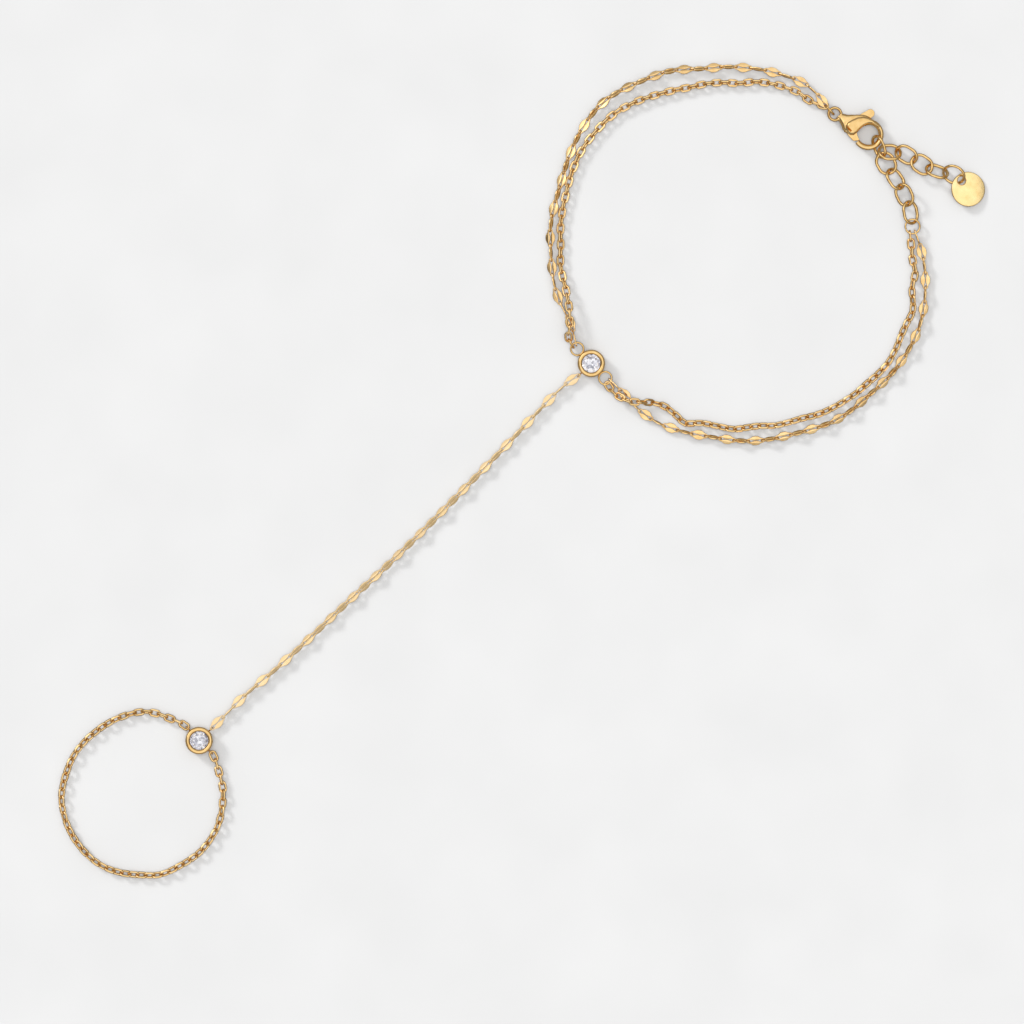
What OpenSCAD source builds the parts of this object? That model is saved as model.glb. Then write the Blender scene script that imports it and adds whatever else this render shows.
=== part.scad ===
// Hand chain bracelet: a wrist loop of two fine chains, a chain across the hand and a finger loop.
// X runs across the hand, Y runs from the finger to the wrist, Z is up.
// The origin is the centre of the flat back of the wrist setting. The bracelet lies on the plane z = 0.

/* [Settings] */
// Outer diameter of a round setting
bezel_d = 4.0; // [3.9:0.05:4.2]
// Height of a setting from its flat back to the top of its rim
bezel_h = 2.12; // [2.1:0.02:2.3]
// Diameter of the round bar that forms the rim
rim_bar = 0.66; // [0.6:0.02:0.7]
// Diameter of the round stones
stone_d = 3.0; // [2.8:0.05:3.05]
// Diameter of the flat table on top of a stone
table_d = 1.7; // [1.5:0.05:1.9]
// Height of the crown above the girdle
crown_h = 0.44; // [0.38:0.02:0.46]
// Height of the girdle band
girdle_h = 0.08; // [0.04:0.01:0.1]
// Depth of the pavilion below the girdle
pavilion_h = 1.08; // [1.0:0.02:1.1]
// Distance from the back of the wrist setting to the back of the finger setting, centre to centre
hand_reach = 79.6; // [79:0.1:80.2]

/* [Cable chain] */
// Wire of the oval cable links
cable_wire = 0.24; // [0.22:0.01:0.26]
// Width of an oval cable link, outside
cable_w = 1.28; // [1.2:0.02:1.36]
// Distance from one cable link to the next
cable_pitch = 1.18; // [1.12:0.02:1.26]
// Diameter of the plain tube that stands for the right cable strand
tube_d = 1.06; // [1.0:0.02:1.1]

/* [Lace chain] */
// Thickness of the flat lozenge links
lace_t = 0.2; // [0.18:0.01:0.21]
// Width of a lozenge link across its middle
lace_w = 1.42; // [1.3:0.02:1.48]
// Length of the full width across a lozenge link
lace_flat = 0.5; // [0.3:0.05:0.7]
// Width of the rounded hole at each end of a lozenge link
lace_hole = 0.64; // [0.62:0.01:0.66]
// Length of the rounded hole at each end of a lozenge link
lace_hole_l = 0.86; // [0.84:0.01:0.88]
// Width of the metal round an end hole
lace_edge = 0.18; // [0.17:0.01:0.19]
// Width of the slit between the two petals
slit_w = 0.12; // [0.08:0.01:0.16]
// Length of the slit between the two petals
slit_l = 0.5; // [0.4:0.05:0.6]
// Distance from one wrist lace link to the next
lace_pitch = 2.13; // [2.08:0.01:2.2]
// Distance from one hand chain link to the next
hand_pitch = 2.27; // [2.2:0.01:2.34]

/* [Extension chain] */
// Wire of the extension links
extension_wire = 0.4; // [0.36:0.01:0.42]
// Length of an extension link, outside
extension_l = 3.66; // [3.62:0.02:3.7]
// Width of an extension link, outside
extension_w = 3.0; // [2.8:0.05:3.1]

/* [Rings and tag] */
// Wire of the small rings
ring_wire = 0.27; // [0.24:0.01:0.29]
// Outer diameter of the small side rings and the clasp ring
ring_d = 2.14; // [2.08:0.02:2.2]
// Outer diameter of the end ring
end_ring_d = 2.38; // [2.3:0.02:2.44]
// Wire of the tag ring
tag_wire = 0.4; // [0.36:0.01:0.42]
// Outer diameter of the tag ring
tag_ring_d = 3.56; // [3.5:0.02:3.6]
// Diameter of the round tag
tag_d = 5.1; // [5.0:0.02:5.2]
// Thickness of the tag
tag_t = 0.38; // [0.34:0.01:0.4]
// Diameter of the hole in the tag
tag_hole = 1.26; // [1.22:0.02:1.3]
// Width of the metal between the tag's hole and its edge
tag_edge = 0.34; // [0.3:0.02:0.36]

/* [Clasp] */
// Thickness of the clasp body over its raised faces
clasp_t = 2.2; // [2.1:0.02:2.4]
// How far the raised face stands above each side of the body
face_rise = 0.22; // [0.15:0.01:0.3]
// Outer diameter of the eye
eye_d = 2.24; // [2.1:0.02:2.3]
// Diameter of the hole in the eye
eye_hole = 1.4; // [1.3:0.02:1.44]
// Thickness of the eye
eye_t = 0.9; // [0.8:0.02:1.0]
// Outer diameter of the hook
hook_d = 4.5; // [4.4:0.02:4.6]
// Width of the hook's bar, seen from above
hook_w = 0.65; // [0.6:0.01:0.7]
// Thickness of the hook's bar
hook_t = 1.1; // [1.04:0.02:1.14]
// Thickness of the lever
lever_t = 0.9; // [0.8:0.02:1.0]
// Diameter of the lever's pin
pin_d = 0.6; // [0.5:0.02:0.7]
// Radius of the lever's round middle, which turns on the pin
hub_r = 0.72; // [0.66:0.02:0.76]
// Radius of the thumb tab's round end
tab_r = 0.61; // [0.56:0.01:0.64]

/* [Clearances] */
// Gap between one cable link and the next
cable_gap = 0.21; // [0.18:0.01:0.24]
// Gap between one lace link and the next
lace_gap = 0.23; // [0.22:0.01:0.24]
// Gap round the end of a chain link in a setting's lug
lug_gap = 0.18; // [0.14:0.01:0.2]
// Gap between a stone and its seat
stone_gap = 0.06; // [0.04:0.01:0.08]
// Gap round the lever in its slot
lever_gap = 0.1; // [0.08:0.01:0.12]
// Gap round the lever's pin
pin_gap = 0.03; // [0.02:0.005:0.05]
// Gap between the gate and the tip of the hook
gate_gap = 0.12; // [0.08:0.01:0.14]

/* [Hidden] */
$fn = 48;
overlap = 0.06;
bezel_r = bezel_d / 2;
// The wall of a setting leans in a little toward its flat back
wall_r = bezel_r - 0.05;
wall_foot = 0.35;
back_edge = 0.1;
back_r = bezel_r - 0.12 - back_edge;
rim_r = bezel_r - rim_bar / 2;
rim_z = bezel_h - rim_bar / 2;
stone_r = stone_d / 2;
seat_r = stone_r + stone_gap;
girdle_top = rim_z - rim_bar / 2;
girdle_low = girdle_top - girdle_h;
seat_top = girdle_top + stone_gap;
seat_low = girdle_low - stone_gap;
culet_z = girdle_low - pavilion_h;
seat_drop = 0.1;
seat_floor = culet_z - stone_gap - seat_drop;

cable_z = 0.68;
lace_z = 0.75;
ring_z = 0.75;
ring_r = (ring_d - ring_wire) / 2;
side_ring_x = wall_r + ring_d / 2 - overlap;
lug_wire = 0.2;
lug_root = 0.12;
lug_r = cable_wire / 2 + lug_gap + lug_wire / 2;
lug_x = wall_r + lug_root + lug_gap + cable_wire / 2;
lug_reach = lug_x + lug_r;

clasp_at = [-1.6, 51, clasp_t / 2];
clasp_ring_at = [-2.6, 50.85, clasp_t / 2];
end_ring_r = (end_ring_d - ring_wire) / 2;
end_ring_at = [18.15, 47.8, 1.06];
tag_at = [19.85, 57.45, 0.85];
tag_ring_r = (tag_ring_d - tag_wire) / 2;
tag_ring_at = [16.85, 57.4, 1.3];
tag_ring_turn = [0, 9, 10];
tag_ring_lean = 43;
tag_lean = 14;
raised_toward = 238;
tag_turn = -5;

// Where each strand takes hold of a ring: the angle round the ring, seen from above
lace_left_hold = 150;
cable_left_hold = 189.5;
lace_right_hold = 20;
cable_right_hold = -25;
lace_end_hold = -20;
cable_end_hold = -65;
clasp_hold_z = 0.34;
clasp_hold_x = clasp_ring_at[0] - sqrt(pow(ring_r, 2) - pow(clasp_hold_z, 2));
// How far the tube stops short of a ring's wire, and how far apart its rings of corners are
tube_stop = 0.75;
tube_step = 2.5;

// Places on the clasp, measured from the middle of its eye
hook_at = [5.55, 1.42];
hook_r = hook_d / 2;
hook_open = [137, 165];
pin_at = [3.1, 1.05];
tab_at = [3.53, 3.8];
gate_reach = 2.42;
body_side = 4.15;

// Routes of the chains, chosen by hand: places along the middle of each strand
hand_route = [
    [0, -lug_reach, ring_z], [-0.35, -4.5, lace_z], [-0.45, -7, lace_z], [-0.3, -11, lace_z],
    [0, -17, lace_z], [0.3, -25, lace_z], [0.55, -34, lace_z], [0.6, -42, lace_z],
    [0.45, -50, lace_z], [0.4, -58, lace_z], [0.2, -65, lace_z], [-0.1, -70, lace_z],
    [-0.05, -74, lace_z], [0, lug_reach - hand_reach, ring_z]
];
finger_route = [
    [-lug_reach, 0, ring_z], [-3.9, -0.25, cable_z], [-5.1, -0.8, cable_z], [-7.1, -1.75, cable_z],
    [-8.7, -3, cable_z], [-10.1, -5.2, cable_z], [-11.1, -8, cable_z], [-11.5, -11, cable_z],
    [-11.4, -13.4, cable_z], [-10.9, -15.5, cable_z], [-9.7, -18, cable_z], [-8.2, -20.1, cable_z],
    [-6.3, -21.6, cable_z], [-4, -22.7, cable_z], [-1.5, -23.3, cable_z], [1.2, -23.4, cable_z],
    [3.6, -22.9, cable_z], [6, -21.7, cable_z], [8.4, -19.7, cable_z], [10.2, -17.7, cable_z],
    [11.2, -15, cable_z], [11.8, -12, cable_z], [11.7, -9.6, cable_z], [11, -7, cable_z],
    [9.7, -4.8, cable_z], [7.7, -2.6, cable_z], [5.6, -1.3, cable_z], [3.9, -0.4, cable_z],
    [lug_reach, 0, ring_z]
];
lace_left_route = [
    [clasp_hold_x, clasp_ring_at[1], clasp_ring_at[2] + clasp_hold_z],
    [-5.4, 51.1, 1.44], [-7.4, 50.95, 1.17], [-9.2, 50.4, 0.87],
    [-11, 49.5, lace_z], [-12.8, 48.4, lace_z], [-14.5, 47.2, lace_z],
    [-16.1, 45.8, lace_z], [-17.7, 44.25, lace_z], [-19.05, 42.6, lace_z], [-20.4, 41, lace_z],
    [-21.8, 39.4, lace_z], [-23.1, 37.6, lace_z], [-24, 35.7, lace_z], [-24.8, 33.7, lace_z],
    [-25.5, 31.7, lace_z], [-26.05, 29.8, lace_z], [-26.3, 27.8, lace_z], [-26.25, 25.8, lace_z],
    [-25.9, 23.8, lace_z], [-25.35, 21.8, lace_z], [-24.6, 19.8, lace_z], [-23.7, 17.9, lace_z],
    [-22.7, 16.1, lace_z], [-21.6, 14.2, lace_z], [-20.5, 12.3, lace_z], [-19.35, 10.6, lace_z],
    [-18.1, 9.1, lace_z], [-16.7, 7.8, lace_z], [-15.1, 6.4, lace_z], [-13.35, 5, lace_z],
    [-11.6, 3.85, lace_z], [-9.7, 2.95, lace_z], [-7.7, 2.3, lace_z], [-6.3, 1.85, lace_z], [-5, 1.2, lace_z]
];
cable_left_route = [
    [clasp_hold_x, clasp_ring_at[1], clasp_ring_at[2] - clasp_hold_z], [-4.25, 50.3, 0.66],
    [-5.4, 49.78, 0.64], [-6.6, 49.53, cable_z],
    [-7.8, 49.3, cable_z], [-10, 48.2, cable_z], [-11.4, 47.3, cable_z], [-13.1, 45.9, cable_z],
    [-14.5, 44.1, cable_z], [-16.2, 42.5, cable_z], [-17.8, 40.6, cable_z], [-19.1, 38.5, cable_z],
    [-20.4, 36.5, cable_z], [-21.6, 34.4, cable_z], [-22.7, 32.2, cable_z], [-23.5, 30, cable_z],
    [-24, 27.8, cable_z], [-24.1, 25.5, cable_z], [-23.9, 23, cable_z], [-23.5, 20.8, cable_z],
    [-22.7, 18.6, cable_z], [-21.6, 16.4, cable_z], [-20.4, 14.5, cable_z], [-19, 12.4, cable_z],
    [-17.3, 10.4, cable_z], [-15.5, 8.7, cable_z], [-14, 7.2, cable_z], [-12.5, 6.05, 0.85],
    [-10.6, 4.95, 1.35], [-8.9, 3.85, 1.8], [-7.4, 2.74, 2.12], [-6.3, 1.7, 2.16], [-5.52, 0.7, 1.87],
    [-4.82, 0.1, 1.3]
];
lace_right_route = [
    [5, 0.36, lace_z], [6.6, 0.38, lace_z], [8.1, 0.32, lace_z], [9.6, 0.32, lace_z], [11.3, 0.6, lace_z],
    [13.2, 1.1, lace_z], [15.2, 2.05, lace_z], [17.1, 3.15, lace_z], [18.7, 4.3, lace_z],
    [20.3, 5.5, lace_z], [22, 6.8, lace_z], [23.65, 8.25, lace_z], [25.15, 9.9, lace_z], [26.4, 11.6, lace_z],
    [27.5, 13.4, lace_z], [28.6, 15.3, lace_z], [29.6, 17.2, lace_z], [30.5, 19.2, lace_z],
    [31.1, 21.3, lace_z], [31.4, 23.5, lace_z], [31.5, 25.6, lace_z], [31.6, 27.7, lace_z],
    [31.6, 29.8, lace_z], [31.4, 31.9, lace_z], [31, 34, lace_z], [30.4, 36, lace_z],
    [29.6, 38, lace_z], [28.5, 39.85, lace_z], [27.2, 41.55, lace_z],
    [25.75, 43.1, lace_z], [24.1, 44.6, lace_z], [22.4, 45.8, lace_z], [20.8, 46.7, lace_z]
];
cable_right_route = [
    [5.4, -0.6, 1.1], [6.6, -0.3, 1.7], [7.7, 0.1, 2.1], [8.5, 0.7, 2.1], [9.3, 1.5, 1.5], [10.3, 2.4, 0.8],
    [12, 3.4, cable_z], [14.1, 3.7, cable_z], [15.6, 3.8, cable_z], [16.4, 4.4, cable_z],
    [17.6, 5.7, cable_z], [19.6, 7.1, cable_z], [21.4, 8.4, cable_z], [22.6, 10, cable_z],
    [23.8, 11.6, cable_z], [25.1, 13, cable_z], [26.1, 14.6, cable_z], [27.2, 16.7, cable_z],
    [28.3, 18.6, cable_z], [29.1, 20.7, cable_z], [29.6, 22.7, cable_z], [30, 24.8, cable_z],
    [30.1, 27, cable_z], [30.2, 29.4, cable_z], [30, 31.6, cable_z], [29.3, 33.8, cable_z],
    [28.4, 35.8, cable_z], [27.7, 37.6, cable_z], [27.1, 39.2, cable_z], [25.9, 40.4, cable_z],
    [24.8, 41.3, cable_z], [24, 42.3, cable_z], [23.3, 43.4, cable_z], [21.6, 44.5, cable_z],
    [20.15, 45.65, cable_z]
];

// Middle, heading, climb and roll of each extension link, from the end ring to the clasp
extension_places = [
    [16.45, 49, 1.1, 145, 0, 40],
    [14, 50.1, 1.25, 160, 0, -35],
    [11.4, 50.8, 1.15, 170, 0, 40],
    [8.8, 51.4, 1.25, 165, 5, -15]
];
hooked_place = [6.32, 52.32, 1.39, 160, -8, -60];
// The same for the free end, from the hooked link to the tag ring
tail_places = [
    [8, 52.9, 1.5, 48, -14, -36],
    [9.95, 54.4, 1.3, 15, 0, 35],
    [12.55, 55.05, 1.25, 12, 0, -15],
    [14.8, 55.95, 1.25, 28, 0, -50]
];

// A point of the smooth curve between b and c, where share runs from 0 to 1
function curve_point(a, b, c, d, share) =
    b + share / 2 * ((c - a) + share * ((2 * a - 5 * b + 4 * c - d) + share * (3 * (b - c) + d - a)));

function smooth_path(points, steps = 12) = [
    for (i = [0 : len(points) - 2], k = [0 : steps - 1])
        curve_point(
            points[max(i - 1, 0)], points[i], points[i + 1], points[min(i + 2, len(points) - 1)], k / steps
        ),
    points[len(points) - 1]
];

function running_length(path) = [
    for (i = 0, total = 0; i < len(path);
        total = total + (i + 1 < len(path) ? norm(path[i + 1] - path[i]) : 0), i = i + 1) total
];

function segment_at(lengths, along, low, high) =
    high - low <= 1 ? low
    : let (middle = floor((low + high) / 2))
        lengths[middle] <= along
            ? segment_at(lengths, along, middle, high)
            : segment_at(lengths, along, low, middle);

function point_at(path, lengths, along) =
    let (i = segment_at(lengths, along, 0, len(lengths) - 1))
    path[i] + (along - lengths[i]) / (lengths[i + 1] - lengths[i]) * (path[i + 1] - path[i]);

// Place of every link along a route: its middle, its direction and the distance to the next.
// The first and last link reach round the wires that the route starts and ends on.
// odd is 1 for a strand with an odd number of links, 0 for an even one.
function link_places(points, pitch, gap, start_wire, end_wire, odd) =
    let (
        path = smooth_path(points),
        lengths = running_length(path),
        total = lengths[len(lengths) - 1],
        first = (pitch - gap - start_wire) / 2,
        last = (pitch - gap - end_wire) / 2,
        span = total - first - last,
        count = 2 * round((span / pitch + 1 - odd) / 2) + odd,
        step = span / (count - 1)
    )
    [
        for (i = [0 : count - 1])
            let (
                along = first + i * step,
                ahead = point_at(path, lengths, min(along + step / 2, total)),
                behind = point_at(path, lengths, max(along - step / 2, 0))
            )
            [point_at(path, lengths, along), ahead - behind, step]
    ];

// Roll of link i: every second link is a quarter turn on, and lean is reached ten links from each end
function link_roll(i, count, start_roll, lean, sway) =
    start_roll + (i % 2 == 0 ? 0 : -90) + lean * min(1, min(i, count - 1 - i) / 10) + sway * sin(i * 137);

function heading(v) = atan2(v[1], v[0]);
function climb(v) = asin(v[2] / norm(v));

module placed(middle, direction, roll) {
    translate(middle)
        rotate([0, -climb(direction), heading(direction)])
            rotate([roll, 0, 0])
                children();
}

module ring(radius, wire) {
    rotate_extrude() translate([radius, 0]) circle(d = wire);
}

// A link of round wire with straight sides, lying along X
module oval_link(length, width, wire) {
    bend_r = (width - wire) / 2;
    straight = length - width;
    for (end = [0, 1])
        rotate([0, 0, 180 * end])
            translate([straight / 2, 0, 0])
                rotate([0, 0, -90])
                    rotate_extrude(angle = 180) translate([bend_r, 0]) circle(d = wire);
    for (side = [-1, 1])
        translate([-straight / 2, side * bend_r, 0])
            rotate([0, 90, 0]) cylinder(d = wire, h = straight);
}

// A flat lozenge link with a rounded hole at each end and a slit between its two petals
module lace_link(pitch) {
    length = pitch + 2 * lace_edge + lace_gap;
    end_r = lace_hole / 2 + lace_edge;
    hole_x = length / 2 - end_r;
    hole_straight = lace_hole_l - lace_hole;
    translate([0, 0, -lace_t / 2])
        linear_extrude(lace_t)
            difference() {
                union() {
                    polygon([
                        for (s = [[1, 1], [-1, 1], [-1, -1], [1, -1]])
                            for (near = s[0] * s[1] > 0 ? [1, 0] : [0, 1])
                                near == 1
                                    ? [s[0] * hole_x, s[1] * (end_r - overlap)]
                                    : [s[0] * lace_flat / 2, s[1] * lace_w / 2]
                    ]);
                    for (side = [-1, 1]) translate([side * hole_x, 0]) circle(r = end_r);
                }
                for (side = [-1, 1]) {
                    translate([side * hole_x, 0]) circle(d = lace_hole);
                    translate([side * (hole_x - hole_straight), 0]) circle(d = lace_hole);
                    translate([side * (hole_x - hole_straight / 2), 0])
                        square([hole_straight, lace_hole], center = true);
                }
                square([slit_l, slit_w], center = true);
            }
}

module lace_strand(points, pitch, start_wire, end_wire, odd, start_roll, lean, sway) {
    places = link_places(points, pitch, lace_gap, start_wire, end_wire, odd);
    for (i = [0 : len(places) - 1])
        placed(places[i][0], places[i][1], link_roll(i, len(places), start_roll, lean, sway))
            lace_link(places[i][2]);
}

// A small oval link with flattened faces
module cable_link(pitch) {
    straight = pitch + 2 * cable_wire + cable_gap - cable_w;
    translate([0, 0, -cable_wire / 2])
        linear_extrude(cable_wire)
            difference() {
                oval(straight, cable_w / 2);
                oval(straight, cable_w / 2 - cable_wire);
            }
}

module oval(straight, end_r) {
    for (side = [-1, 1]) translate([side * straight / 2, 0]) circle(r = end_r);
    square([straight, 2 * end_r], center = true);
}

module cable_strand(points, start_wire, end_wire, odd, start_roll, lean, sway) {
    places = link_places(points, cable_pitch, cable_gap, start_wire, end_wire, odd);
    for (i = [0 : len(places) - 1])
        placed(places[i][0], places[i][1], link_roll(i, len(places), start_roll, lean, sway))
            cable_link(places[i][2]);
}

module lug() {
    translate([lug_x, 0, ring_z]) rotate([90, 0, 0]) ring(lug_r, lug_wire);
}

// A closed-back cup with a round rim that holds the stone's edge
module cup() {
    rotate_extrude($fn = 96) {
        polygon([
            [0, 0], [back_r, 0], [back_r + back_edge, back_edge], [wall_r, wall_foot], [bezel_r, rim_z],
            [rim_r, rim_z], [seat_r, seat_top], [seat_r, seat_low], [0, seat_floor]
        ]);
        translate([rim_r, rim_z]) circle(d = rim_bar);
    }
}

// A round brilliant, table up, with the back of its setting at z = 0
module brilliant() {
    table_r = table_d / 2;
    table_z = girdle_top + crown_h;
    kite_r = 0.8 * stone_r;
    kite_z = table_z - (kite_r * cos(22.5) - table_r) * crown_h / (stone_r - table_r);
    lower_r = 0.7 * stone_r;
    lower_z = culet_z + lower_r * cos(22.5) * pavilion_h / stone_r;
    points = concat(
        [for (k = [0 : 7]) [table_r * cos(45 * k), table_r * sin(45 * k), table_z]],
        [for (k = [0 : 7]) [kite_r * cos(45 * k + 22.5), kite_r * sin(45 * k + 22.5), kite_z]],
        [for (k = [0 : 15]) [stone_r * cos(22.5 * k), stone_r * sin(22.5 * k), girdle_top]],
        [for (k = [0 : 15]) [stone_r * cos(22.5 * k), stone_r * sin(22.5 * k), girdle_low]],
        [for (k = [0 : 7]) [lower_r * cos(45 * k + 22.5), lower_r * sin(45 * k + 22.5), lower_z]],
        [[0, 0, culet_z]]
    );
    kite = 8;
    upper = 16;
    lower = 32;
    deep = 48;
    culet = 56;
    faces = concat(
        [[for (k = [7 : -1 : 0]) k]],
        [for (k = [0 : 7]) let (n = (k + 1) % 8) each [
            [k, n, kite + k],
            [k, kite + k, upper + 2 * k],
            [n, upper + (2 * k + 2) % 16, kite + k],
            [kite + k, upper + 2 * k + 1, upper + 2 * k],
            [kite + k, upper + (2 * k + 2) % 16, upper + 2 * k + 1],
            [deep + k, lower + 2 * k, lower + 2 * k + 1],
            [deep + k, lower + 2 * k + 1, lower + (2 * k + 2) % 16],
            [culet, lower + 2 * k, deep + k],
            [culet, deep + k, lower + (2 * k + 2) % 16]
        ]],
        [for (k = [0 : 15]) let (n = (k + 1) % 16) each [
            [upper + k, upper + n, lower + n],
            [upper + k, lower + n, lower + k]
        ]]
    );
    polyhedron(points, faces);
}

// A plain tube along a route, with a ring of ten corners every few diameters
module strand_tube(points, diameter, ring_step) {
    path = smooth_path(points);
    lengths = running_length(path);
    total = lengths[len(lengths) - 1];
    count = ceil(total / ring_step);
    sides = 10;
    middles = [for (i = [0 : count]) point_at(path, lengths, min(i * total / count, total))];
    corners = [
        for (i = [0 : count])
            let (
                along = middles[min(i + 1, count)] - middles[max(i - 1, 0)],
                across = cross([0, 0, 1], along) / norm(cross([0, 0, 1], along)),
                up = cross(along, across) / norm(cross(along, across))
            )
            for (k = [0 : sides - 1])
                middles[i] + diameter / 2 * (cos(360 * k / sides) * across + sin(360 * k / sides) * up)
    ];
    faces = concat(
        [[for (k = [0 : sides - 1]) k]],
        [[for (k = [sides - 1 : -1 : 0]) count * sides + k]],
        [for (i = [0 : count - 1], k = [0 : sides - 1])
            let (n = (k + 1) % sides, here = i * sides, next = here + sides)
            each [[here + k, next + k, here + n], [here + n, next + k, next + n]]]
    );
    polyhedron(corners, faces);
}

module wrist_bezel() {
    color("goldenrod") {
        cup();
        rotate([0, 0, -90]) lug();
        for (side = [-1, 1]) translate([side * side_ring_x, 0, ring_z]) ring(ring_r, ring_wire);
    }
}

module finger_bezel() {
    color("goldenrod")
        translate([0, -hand_reach, 0]) {
            cup();
            for (turn = [0, 90, 180]) rotate([0, 0, turn]) lug();
        }
}

module wrist_stone() {
    color("lavender") brilliant();
}

module finger_stone() {
    color("lavender") translate([0, -hand_reach, 0]) brilliant();
}

module hand_chain() {
    color("gold")
        lace_strand(
            hand_route, hand_pitch, lug_wire, lug_wire,
            odd = 1, start_roll = 0, lean = 40, sway = 2
        );
}

module finger_chain() {
    color("goldenrod")
        translate([0, -hand_reach, 0])
            cable_strand(finger_route, lug_wire, lug_wire, odd = 1, start_roll = 0, lean = 45, sway = 4);
}

module wrist_lace_left() {
    color("gold")
        lace_strand(
            concat(lace_left_route, [ring_hold([-side_ring_x, 0, ring_z], ring_r, lace_left_hold)]),
            lace_pitch, ring_wire, ring_wire,
            odd = 0, start_roll = 0, lean = 25, sway = 2
        );
}

module wrist_lace_right() {
    color("gold")
        lace_strand(
            concat(
                [ring_hold([side_ring_x, 0, ring_z], ring_r, lace_right_hold)],
                lace_right_route,
                [ring_hold(end_ring_at, end_ring_r, lace_end_hold)]
            ),
            lace_pitch, ring_wire, ring_wire,
            odd = 1, start_roll = 90, lean = 25, sway = 2
        );
}

module wrist_cable_left() {
    color("goldenrod")
        cable_strand(
            concat(cable_left_route, [ring_hold([-side_ring_x, 0, ring_z], ring_r, cable_left_hold)]),
            ring_wire, ring_wire,
            odd = 0, start_roll = 0, lean = 20, sway = 4
        );
}

module wrist_cable_right() {
    color("goldenrod")
        strand_tube(
            concat(
                [ring_hold([side_ring_x, 0, ring_z], ring_r + tube_stop, cable_right_hold)],
                cable_right_route,
                [ring_hold(end_ring_at, end_ring_r + tube_stop, cable_end_hold)]
            ),
            tube_d, tube_step
        );
}

// The point of a flat ring's wire at an angle round the ring
function ring_hold(middle, radius, turn) = middle + radius * [cos(turn), sin(turn), 0];

module clasp_ring() {
    color("goldenrod") translate(clasp_ring_at) rotate([90, 0, 0]) ring(ring_r, ring_wire);
}

module end_ring() {
    color("goldenrod") translate(end_ring_at) ring(end_ring_r, ring_wire);
}

module extension_link(place) {
    color("goldenrod")
        translate([place[0], place[1], place[2]])
            rotate([0, -place[4], place[3]])
                rotate([place[5], 0, 0])
                    oval_link(extension_l, extension_w, extension_wire);
}

module tag_ring() {
    color("goldenrod")
        translate(tag_ring_at)
            rotate(tag_ring_turn) rotate([tag_ring_lean, 0, 0])
                ring(tag_ring_r, tag_wire);
}

// The tag leans on its ring, with its raised side toward raised_toward
module tag() {
    hole_x = -(tag_d / 2 - tag_edge - tag_hole / 2);
    color("gold")
        translate(tag_at)
            rotate([0, -tag_lean, raised_toward]) rotate([0, 0, tag_turn - raised_toward])
                difference() {
                    translate([0, 0, -tag_t / 2]) cylinder(d = tag_d, h = tag_t, $fn = 96);
                    translate([hole_x, 0, -tag_t]) cylinder(d = tag_hole, h = 2 * tag_t);
                }
}

module body_outline() {
    polygon([
        [0.9, -0.3], [1.6, -0.36], [2.2, -0.62], [2.8, -0.78], [3.6, -0.84], [4, -0.7], [body_side, -0.3],
        [body_side, 2.4], [4.45, 2.85], [4.5, 3.4], [4.1, 3.5], [3.6, 3.36], [3.05, 3.05],
        [2.6, 2.66], [2.1, 2], [1.6, 1.3], [0.9, 0.96]
    ]);
}

module face_outline() {
    polygon([
        [2.25, 0.05], [2.4, 0], [3.7, 0], [3.95, 0.2], [3.98, 2],
        [3.9, 3.1], [3.4, 2.9], [2.75, 2.1], [2.2, 0.7]
    ]);
}

// The part of the body that the lever moves in
module slot_outline() {
    polygon([
        [1.85, 2.6], [2.35, 0.6], [2.3, -0.1], [2.9, -1.3], [5.2, -1.3], [5.2, 1.35], [4.05, 1.5],
        [4.02, 2.4], [4.18, 2.9], [4.25, 4.6], [1.4, 4.6]
    ]);
}

module lever_outline() {
    translate(pin_at) circle(r = hub_r);
    polygon([
        [2.4, 1.2], [3.8, 1], [3.9, 2.2],
        tab_at + tab_r * [0.92, -0.41], tab_at, tab_at + tab_r * [-0.95, -0.33]
    ]);
    translate(tab_at) circle(r = tab_r);
    intersection() {
        polygon([
            [3.5, 1.5], [2.7, 0.5], [3.3, -0.5], [3.7, -0.74],
            [5.4, -0.74], [5.4, -0.1], [4.3, -0.05], [3.8, 0.6]
        ]);
        translate(pin_at) circle(r = gate_reach);
    }
}

module clasp_body() {
    color("goldenrod")
        translate(clasp_at) {
            difference() {
                union() {
                    translate([0, 0, -eye_t / 2]) cylinder(d = eye_d, h = eye_t);
                    translate([0, 0, face_rise - clasp_t / 2])
                        linear_extrude(clasp_t - 2 * face_rise) body_outline();
                    translate([0, 0, -clasp_t / 2]) linear_extrude(clasp_t) face_outline();
                    hook();
                }
                translate([0, 0, -clasp_t]) cylinder(d = eye_hole, h = 2 * clasp_t);
                translate([0, 0, -lever_t / 2 - lever_gap])
                    linear_extrude(lever_t + 2 * lever_gap) slot_outline();
            }
            translate([pin_at[0], pin_at[1], -lever_t / 2 - lever_gap - overlap])
                cylinder(d = pin_d, h = lever_t + 2 * lever_gap + 2 * overlap);
        }
}

module hook() {
    difference() {
        translate([hook_at[0], hook_at[1], -hook_t / 2])
            linear_extrude(hook_t)
                difference() {
                    circle(r = hook_r, $fn = 96);
                    circle(r = hook_r - hook_w, $fn = 96);
                    for (turn = hook_open) rotate([0, 0, turn]) square(hook_r + overlap);
                }
        translate([pin_at[0], pin_at[1], -hook_t])
            cylinder(r = gate_reach + gate_gap, h = 2 * hook_t, $fn = 96);
    }
}

module clasp_lever() {
    color("gold")
        translate(clasp_at)
            translate([0, 0, -lever_t / 2])
                linear_extrude(lever_t)
                    difference() {
                        lever_outline();
                        translate(pin_at) circle(r = pin_d / 2 + pin_gap);
                    }
}

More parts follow.
